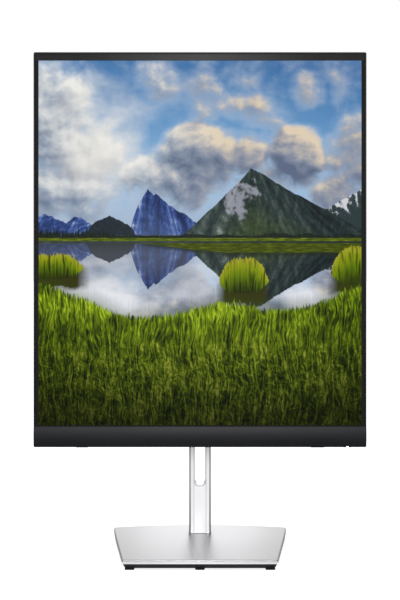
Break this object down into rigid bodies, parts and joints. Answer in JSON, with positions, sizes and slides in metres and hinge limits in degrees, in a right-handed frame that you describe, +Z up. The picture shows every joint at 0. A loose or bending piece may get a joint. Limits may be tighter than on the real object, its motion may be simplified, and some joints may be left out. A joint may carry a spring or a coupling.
{
  "type": "computer monitor",
  "caption": "Tall-screen computer monitor on a square column and flat base, with height, tilt, pivot and swivel movement.",
  "frame": {"origin": "on the table, at the middle of the base's rectangle in plan", "axes": "+Z up, the screen faces -Y, +X to the right as the viewer sees it"},
  "size_m": [0.4778, 0.2104, 0.738],
  "materials": {
    "bezel_plastic": "satin moulded plastic, dark grey",
    "cover_plastic": "fine-textured moulded plastic",
    "screen": "anti-glare polariser over glass, lit from behind",
    "silver_paint": "satin silver",
    "brushed_metal": "fine brushed, clear coated",
    "dark_plastic": "moulded plastic",
    "rubber": "matt",
    "steel": "pressed and turned steel",
    "plated_steel": "zinc plated",
    "white_plastic": "satin",
    "clear_plastic": "clear acrylic",
    "lamp": "lit white",
    "circuit_board": "solder mask"
  },
  "bodies": {
    "base": {"base_cover": "brushed_metal", "base_pan": "dark_plastic", "base_plate": "steel", "foot_front_left": "rubber", "foot_front_middle": "rubber", "foot_front_right": "rubber", "foot_rear_left": "rubber", "foot_rear_right": "rubber"},
    "column": {"swivel_disc": "brushed_metal", "swivel_hub": "steel", "swivel_ring": "plated_steel", "column_foot": "silver_paint", "column_tube": "silver_paint", "column_cap": "silver_paint", "slide_rail_left": "plated_steel", "slide_rail_right": "plated_steel", "lift_spring": "steel", "spring_pin": "plated_steel"},
    "thumb_screw": {"base_screw": "plated_steel"},
    "carriage": {"carriage_block": "steel", "slide_pad_left": "white_plastic", "slide_pad_right": "white_plastic", "hinge_arm": "steel", "arm_cover": "silver_paint", "tilt_axle": "plated_steel", "torsion_spring": "plated_steel"},
    "tilt": {"tilt_bracket": "steel"},
    "power_key": {"power_button": "dark_plastic"},
    "joystick_gimbal": {"joystick_yoke": "dark_plastic"},
    "joystick": {"joystick_stem": "dark_plastic"},
    "joystick_top": {"joystick_cap": "dark_plastic"},
    "release": {"release_button": "dark_plastic"},
    "latch": {"latch_tongue": "steel"},
    "head": {"side_frame": "bezel_plastic", "bottom_bezel": "bezel_plastic", "rear_cover": "cover_plastic", "housing_cover": "cover_plastic", "lcd_cell": "screen", "stand_plate": "silver_paint", "power_inlet": "dark_plastic", "mount_bridge": "steel", "pivot_shaft": "steel", "pivot_nut": "plated_steel", "panel_tray": "plated_steel", "chassis_plate": "plated_steel", "data_port_1": "plated_steel", "data_port_2": "plated_steel", "data_port_small": "plated_steel", "video_port_wide": "plated_steel", "video_port_slim": "plated_steel", "diffuser_films": "white_plastic", "reflector_sheet": "white_plastic", "ribbon_cable": "white_plastic", "light_guide_plate": "clear_plastic", "led_strip": "lamp", "power_light": "lamp", "main_board": "circuit_board", "power_board": "circuit_board", "timing_board": "circuit_board", "button_board": "circuit_board"}
  },
  "joints": [
    {"name": "swivel", "type": "hinge", "parent": "base", "child": "column", "pos_m": [0, 0.0626, 0.015], "axis": [0, 0, 1], "range_deg": [-45, 45]},
    {"name": "thumb_screw_turn", "type": "hinge", "parent": "column", "child": "thumb_screw", "pos_m": [0, 0.0626, 0.004], "axis": [0, 0, 1], "range_deg": [0, 360]},
    {"name": "height", "type": "slide", "parent": "column", "child": "carriage", "axis": [0, 0, 1], "range_m": [-0.13, 0]},
    {"name": "tilt", "type": "hinge", "parent": "carriage", "child": "tilt", "pos_m": [0, -0.0032, 0.4545], "axis": [-1, 0, 0], "range_deg": [-5, 21]},
    {"name": "pivot", "type": "hinge", "parent": "tilt", "child": "head", "pos_m": [0, -0.0337, 0.4545], "axis": [0, 1, 0], "range_deg": [-90, 90]},
    {"name": "power_press", "type": "slide", "parent": "head", "child": "power_key", "axis": [0, 0, 1], "range_m": [0, 0.0006], "stiffness_N_per_m": 400, "springref_m": -0.0006},
    {"name": "joystick_left_right", "type": "hinge", "parent": "head", "child": "joystick_gimbal", "pos_m": [0.205, -0.0702, 0.2225], "axis": [0, 0, 1], "range_deg": [-6, 6], "stiffness_Nm_per_rad": 0.02},
    {"name": "joystick_up_down", "type": "hinge", "parent": "joystick_gimbal", "child": "joystick", "pos_m": [0.205, -0.0702, 0.2225], "axis": [1, 0, 0], "range_deg": [-6, 6], "stiffness_Nm_per_rad": 0.02},
    {"name": "joystick_press", "type": "slide", "parent": "joystick", "child": "joystick_top", "axis": [0, -1, 0], "range_m": [0, 0.0008], "stiffness_N_per_m": 400, "springref_m": -0.0006},
    {"name": "release_press", "type": "slide", "parent": "head", "child": "release", "axis": [0, -1, 0], "range_m": [0, 0.0022], "stiffness_N_per_m": 400, "springref_m": -0.001},
    {"name": "latch_slide", "type": "slide", "parent": "head", "child": "latch", "axis": [0, 0, -1], "range_m": [0, 0.0046]}
  ],
  "couplings": [
    {"joint": "latch_slide", "follows": "release_press", "ratio": 2.0909}
  ]
}
